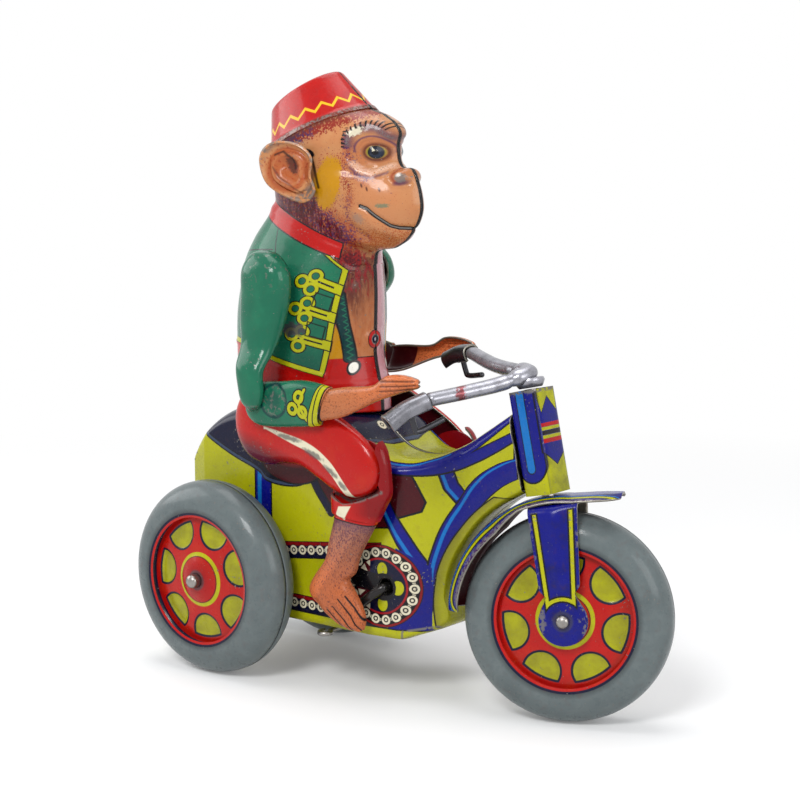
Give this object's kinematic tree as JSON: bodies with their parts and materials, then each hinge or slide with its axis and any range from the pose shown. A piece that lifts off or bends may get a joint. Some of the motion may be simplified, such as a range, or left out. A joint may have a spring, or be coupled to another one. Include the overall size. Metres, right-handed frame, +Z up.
{
  "type": "tinplate clockwork tricycle toy",
  "caption": "Tinplate animal rider in a fez on a clockwork tricycle, with turning wheels, steering bar, cranks and jointed arms and legs.",
  "frame": {"origin": "centre of the bounding box at ground level, under the three wheels", "axes": "+X forward, towards the front wheel; +Y to the rider's left; +Z up"},
  "size_m": [0.1025, 0.0482, 0.1106],
  "materials": {
    "brass": "dull brass",
    "yellow_tin": "glossy lithographed tin",
    "dark_metal": "dark lacquered steel",
    "black_wire": "blackened wire",
    "fur_tin": "glossy lithographed tin",
    "steel": "plain worn steel",
    "blue_tin": "glossy lithographed tin",
    "green_tin": "glossy lithographed tin",
    "grey_tyre": "glossy grey enamel over stamped tin",
    "silver": "worn silver lacquer",
    "red_tin": "glossy lithographed tin"
  },
  "bodies": {
    "frame": {"body_right_half": "yellow_tin", "body_left_half": "yellow_tin", "head_tube": "blue_tin", "motor_plate_right": "steel", "motor_plate_left": "steel", "rider_right_half": "green_tin", "rider_left_half": "green_tin", "ear_right": "fur_tin", "ear_left": "fur_tin", "hip_rivet_left": "steel", "hip_rivet_right": "steel", "shoulder_rivet_left": "steel", "shoulder_rivet_right": "steel"},
    "rear_axle_set": {"rear_axle": "steel", "axle_pinion": "brass", "rear_wheel_right_outer": "grey_tyre", "rear_wheel_right_inner": "grey_tyre", "rear_wheel_left_outer": "grey_tyre", "rear_wheel_left_inner": "grey_tyre"},
    "steering": {"fork": "blue_tin", "fender": "blue_tin", "steering_pin": "steel", "stem": "silver", "handlebar": "silver", "grip_right": "dark_metal", "grip_left": "dark_metal", "brake_lever_right": "dark_metal", "brake_lever_left": "dark_metal", "front_axle": "steel"},
    "front_wheel": {"front_wheel_right_half": "grey_tyre", "front_wheel_left_half": "grey_tyre"},
    "crank_set": {"crankshaft": "black_wire", "crank_wheel": "brass"},
    "great_set": {"great_wheel": "brass", "winding_arbor": "steel", "mainspring": "steel"},
    "idler_set": {"idler_wheel": "brass"},
    "governor_set": {"governor": "brass"},
    "stop_lever_set": {"stop_lever": "steel"},
    "right_thigh": {"thigh_right": "red_tin"},
    "right_lower_leg": {"lower_leg_right": "fur_tin", "knee_rivet_right": "steel"},
    "right_upper_arm": {"upper_arm_right": "green_tin"},
    "right_forearm": {"forearm_right": "green_tin", "elbow_rivet_right": "steel"},
    "left_thigh": {"thigh_left": "red_tin"},
    "left_lower_leg": {"lower_leg_left": "fur_tin", "knee_rivet_left": "steel"},
    "left_upper_arm": {"upper_arm_left": "green_tin"},
    "left_forearm": {"forearm_left": "green_tin", "elbow_rivet_left": "steel"}
  },
  "joints": [
    {"name": "rear_axle_spin", "type": "hinge", "parent": "frame", "child": "rear_axle_set", "pos_m": [-0.03321, 0, 0.018], "axis": [0, 1, 0], "continuous": true},
    {"name": "steer", "type": "hinge", "parent": "frame", "child": "steering", "pos_m": [0.03429, 0, 0.018], "axis": [-0.2113, 0, 0.9774], "range_deg": [-52, 4]},
    {"name": "front_wheel_spin", "type": "hinge", "parent": "steering", "child": "front_wheel", "pos_m": [0.03429, 0, 0.018], "axis": [-0.3944, 0.915, -0.0853], "continuous": true},
    {"name": "crank_spin", "type": "hinge", "parent": "frame", "child": "crank_set", "pos_m": [0.00259, 0, 0.0201], "axis": [0, 1, 0], "continuous": true},
    {"name": "great_wheel_spin", "type": "hinge", "parent": "frame", "child": "great_set", "pos_m": [-0.02103, 0, 0.02751], "axis": [0, 1, 0], "continuous": true},
    {"name": "idler_spin", "type": "hinge", "parent": "frame", "child": "idler_set", "pos_m": [-0.00603, 0, 0.02755], "axis": [0, 1, 0], "continuous": true},
    {"name": "governor_spin", "type": "hinge", "parent": "frame", "child": "governor_set", "pos_m": [-0.02631, 0, 0.04059], "axis": [0, 1, 0], "continuous": true},
    {"name": "stop_lever_turn", "type": "hinge", "parent": "frame", "child": "stop_lever_set", "pos_m": [-0.01121, 0, 0.0096], "axis": [0, 1, 0], "range_deg": [-20, 20]},
    {"name": "right_hip", "type": "hinge", "parent": "frame", "child": "right_thigh", "pos_m": [-0.02121, 0, 0.0475], "axis": [0, 1, 0], "range_deg": [-6, 3]},
    {"name": "right_knee", "type": "hinge", "parent": "right_thigh", "child": "right_lower_leg", "pos_m": [-0.00141, 0, 0.0416], "axis": [0, 1, 0], "range_deg": [-20, 3]},
    {"name": "right_shoulder", "type": "hinge", "parent": "frame", "child": "right_upper_arm", "pos_m": [-0.02141, 0, 0.0736], "axis": [0, 1, 0], "range_deg": [-80, 0]},
    {"name": "right_elbow", "type": "hinge", "parent": "right_upper_arm", "child": "right_forearm", "pos_m": [-0.02041, 0, 0.053], "axis": [0, 1, 0], "range_deg": [-30, 0]},
    {"name": "left_hip", "type": "hinge", "parent": "frame", "child": "left_thigh", "pos_m": [-0.02121, 0, 0.0475], "axis": [0, 1, 0], "range_deg": [-8, 6]},
    {"name": "left_knee", "type": "hinge", "parent": "left_thigh", "child": "left_lower_leg", "pos_m": [-0.00238, 0, 0.039], "axis": [0, 1, 0], "range_deg": [-8, 10]},
    {"name": "left_shoulder", "type": "hinge", "parent": "frame", "child": "left_upper_arm", "pos_m": [-0.02141, 0, 0.0736], "axis": [0, 1, 0], "range_deg": [-80, 0]},
    {"name": "left_elbow", "type": "hinge", "parent": "left_upper_arm", "child": "left_forearm", "pos_m": [-0.03459, 0, 0.05774], "axis": [0, 1, 0], "range_deg": [-4, 0]}
  ],
  "couplings": [
    {"joint": "great_wheel_spin", "follows": "rear_axle_spin", "ratio": -0.41667},
    {"joint": "idler_spin", "follows": "rear_axle_spin", "ratio": 1.1111},
    {"joint": "crank_spin", "follows": "rear_axle_spin", "ratio": -0.625},
    {"joint": "governor_spin", "follows": "rear_axle_spin", "ratio": 1.4286}
  ]
}
